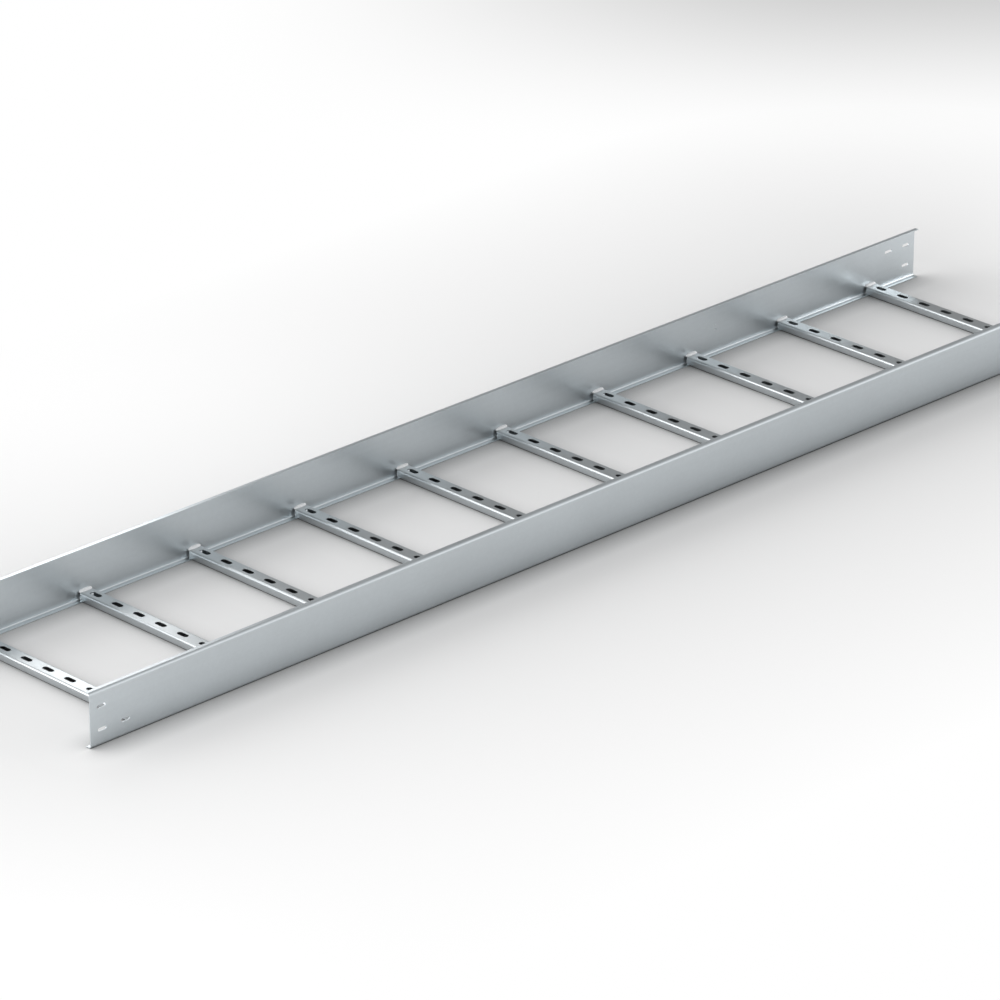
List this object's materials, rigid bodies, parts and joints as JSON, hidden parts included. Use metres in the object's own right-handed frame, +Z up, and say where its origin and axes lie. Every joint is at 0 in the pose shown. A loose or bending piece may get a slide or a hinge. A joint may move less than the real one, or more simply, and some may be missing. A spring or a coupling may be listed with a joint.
{
  "type": "cable ladder",
  "caption": "Straight steel cable ladder section: channel side rails with flanges turned in, slotted rungs welded between them, and slots for splice plates at the rail ends.",
  "frame": {"origin": "middle of the ladder's footprint, on the plane that the rails' lower flanges lie on", "axes": "+X along the ladder from its left end to its right end, +Y across it from the near rail to the far rail, +Z up"},
  "size_m": [3, 0.54, 0.12],
  "materials": {
    "rail_steel": "satin galvanised sheet",
    "rung_steel": "satin galvanised sheet",
    "weld_metal": "rippled bead under bright zinc"
  },
  "bodies": {
    "root": {"near_side_rail": "rail_steel", "far_side_rail": "rail_steel", "rung_1": "rung_steel", "rung_2": "rung_steel", "rung_3": "rung_steel", "rung_4": "rung_steel", "rung_5": "rung_steel", "rung_6": "rung_steel", "rung_7": "rung_steel", "rung_8": "rung_steel", "rung_9": "rung_steel", "rung_10": "rung_steel", "weld_beads": "weld_metal"}
  },
  "joints": []
}
